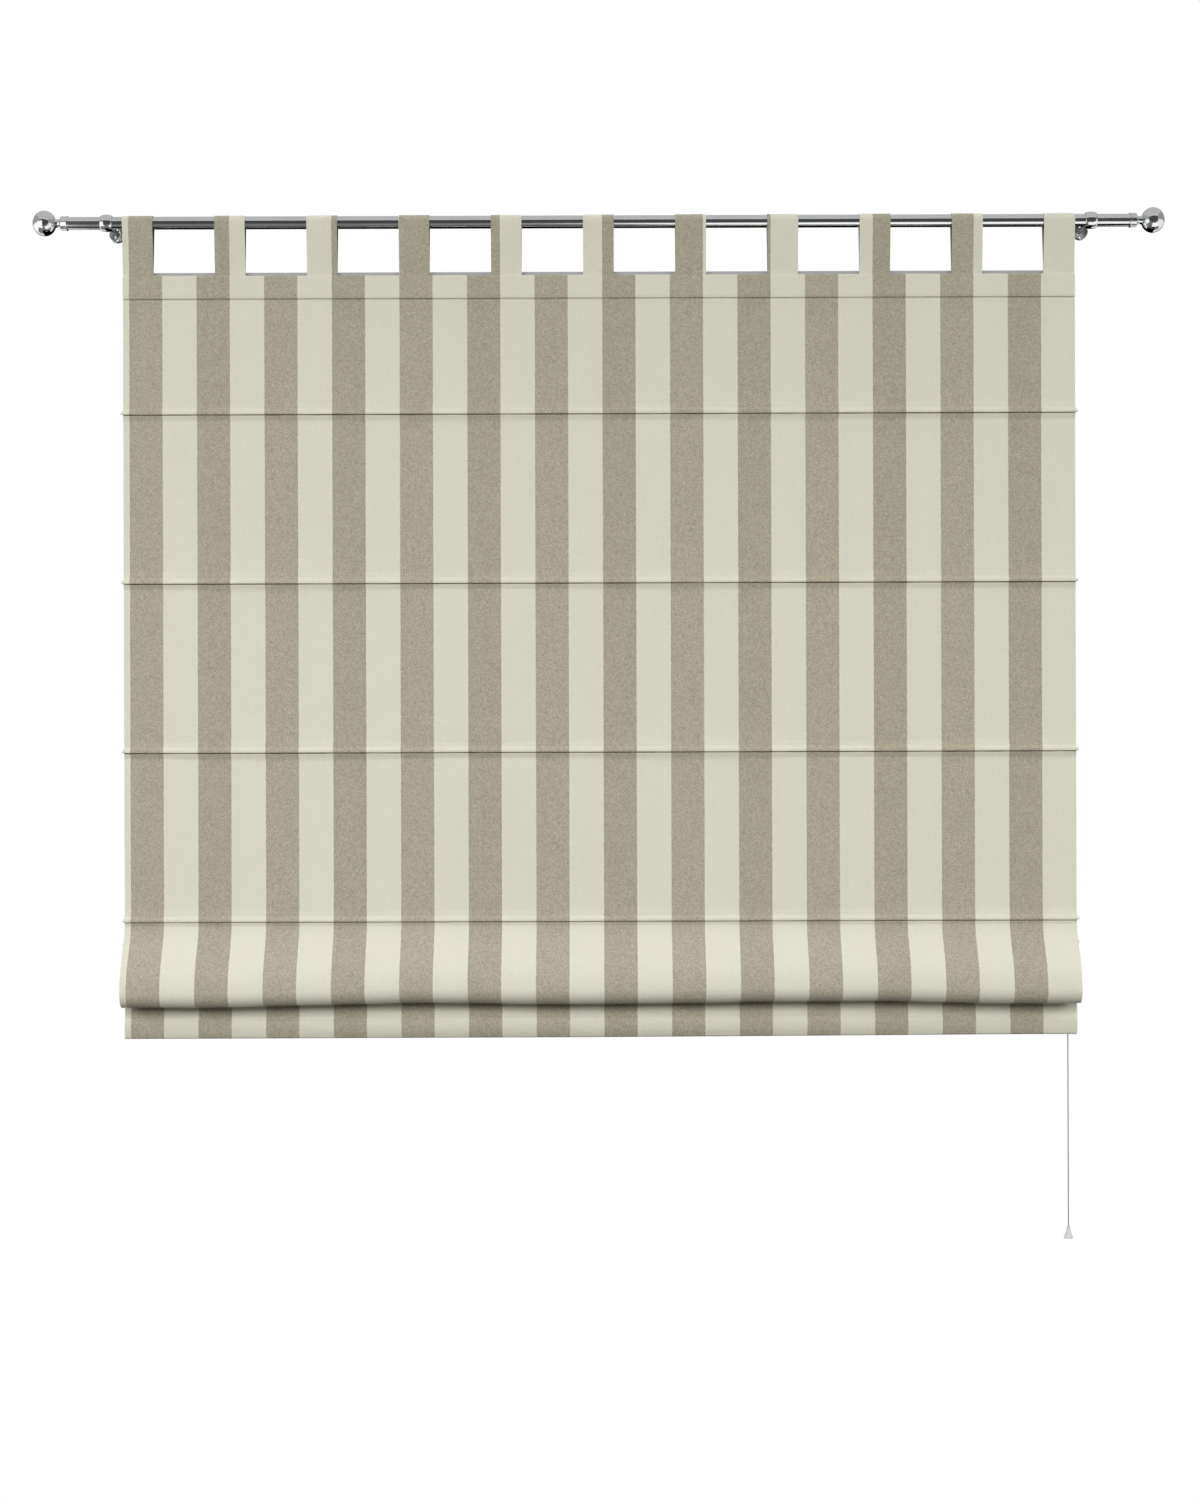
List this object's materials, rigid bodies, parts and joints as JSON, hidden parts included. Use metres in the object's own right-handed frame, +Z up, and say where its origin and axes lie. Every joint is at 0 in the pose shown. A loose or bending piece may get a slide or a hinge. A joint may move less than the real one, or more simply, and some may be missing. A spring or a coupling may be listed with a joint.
{
  "type": "roman blind",
  "caption": "Roman blind of striped cloth with tab tops on a metal pole with ball finials and wall brackets, raised by cords through rings, a cord lock and a bell pull.",
  "frame": {"origin": "on the wall, at the centre of the four wall screw holes, at the height of the pole's axis", "axes": "+X to the right along the pole seen from the room, +Y into the wall, +Z up"},
  "size_m": [1.7848, 0.1455, 1.626],
  "materials": {
    "satin_chrome": "satin polished metal",
    "steel": "zinc plated",
    "striped_cloth": "woven cotton in taupe and cream stripes",
    "rod_fibre": "glass fibre rod",
    "white_plastic": "moulded",
    "clear_plastic": "milky clear moulding",
    "white_cord": "twisted cord",
    "bell_plastic": "moulded",
    "tape": "hook and loop tape",
    "batten": "mill finish",
    "brass": "turned"
  },
  "bodies": {
    "fixed": {"pole": "satin_chrome", "finial_collar_left": "satin_chrome", "finial_collar_right": "satin_chrome", "finial_ball_left": "satin_chrome", "finial_ball_right": "satin_chrome", "bracket_left": "satin_chrome", "bracket_right": "satin_chrome", "wall_rose_left": "satin_chrome", "wall_rose_right": "satin_chrome", "grub_screws": "steel", "tab_1": "striped_cloth", "tab_2": "striped_cloth", "tab_3": "striped_cloth", "tab_4": "striped_cloth", "tab_5": "striped_cloth", "tab_6": "striped_cloth", "tab_7": "striped_cloth", "tab_8": "striped_cloth", "tab_9": "striped_cloth", "tab_10": "striped_cloth", "tab_11": "striped_cloth", "blind_cloth": "striped_cloth", "hook_tape": "tape", "head_batten": "batten", "screw_eyes": "steel", "cord_lock": "white_plastic", "lock_pins": "steel", "lock_screws": "steel", "lift_cord_1": "white_cord", "lift_cord_2": "white_cord", "lift_cord_3": "white_cord", "lift_cord_4": "white_cord"},
    "rod_1": {"rod_1": "rod_fibre", "rod_caps_1": "white_plastic", "cord_rings_1": "clear_plastic"},
    "rod_2": {"rod_2": "rod_fibre", "rod_caps_2": "white_plastic", "cord_rings_2": "clear_plastic"},
    "rod_3": {"rod_3": "rod_fibre", "rod_caps_3": "white_plastic", "cord_rings_3": "clear_plastic"},
    "lower_fold": {"rod_4": "rod_fibre", "rod_caps_4": "white_plastic", "cord_rings_4": "clear_plastic", "rod_5": "rod_fibre", "rod_caps_5": "white_plastic", "cord_rings_5": "clear_plastic", "bottom_bar": "steel", "bottom_bar_caps": "white_plastic", "cord_stops": "white_plastic"},
    "pull": {"cord_joiner": "white_plastic", "pull_cord": "white_cord", "cord_bell": "bell_plastic", "bell_knot": "white_cord"},
    "lock_pulley": {"lock_pulley": "brass"},
    "lock_pawl": {"lock_pawl": "brass"}
  },
  "joints": [
    {"name": "lift", "type": "slide", "parent": "fixed", "child": "lower_fold", "axis": [0, 0, 1], "range_m": [0, 0.84], "deforming": ["blind_cloth", "lift_cord_1", "lift_cord_2", "lift_cord_3", "lift_cord_4"]},
    {"name": "rod_1_rise", "type": "slide", "parent": "fixed", "child": "rod_1", "axis": [0, 0, 1], "range_m": [0, 0.1549]},
    {"name": "rod_2_rise", "type": "slide", "parent": "fixed", "child": "rod_2", "axis": [0, 0, 1], "range_m": [0, 0.3834]},
    {"name": "rod_3_rise", "type": "slide", "parent": "fixed", "child": "rod_3", "axis": [0, 0, 1], "range_m": [0, 0.612]},
    {"name": "cord_pull", "type": "slide", "parent": "fixed", "child": "pull", "axis": [0, 0, -1], "range_m": [0, 0.84]},
    {"name": "pulley_turn", "type": "hinge", "parent": "fixed", "child": "lock_pulley", "pos_m": [0.7318, -0.0886, -0.1282], "axis": [0, 1, 0], "continuous": true},
    {"name": "pawl_swing", "type": "hinge", "parent": "fixed", "child": "lock_pawl", "pos_m": [0.744, -0.0886, -0.134], "axis": [0, 1, 0], "range_deg": [0, 30]}
  ],
  "couplings": [
    {"joint": "rod_1_rise", "follows": "lift", "ratio": 0.18377},
    {"joint": "rod_2_rise", "follows": "lift", "ratio": 0.45585},
    {"joint": "rod_3_rise", "follows": "lift", "ratio": 0.72792},
    {"joint": "cord_pull", "follows": "lift", "ratio": 1},
    {"joint": "pulley_turn", "follows": "lift", "rad_per_m": 192.31}
  ]
}
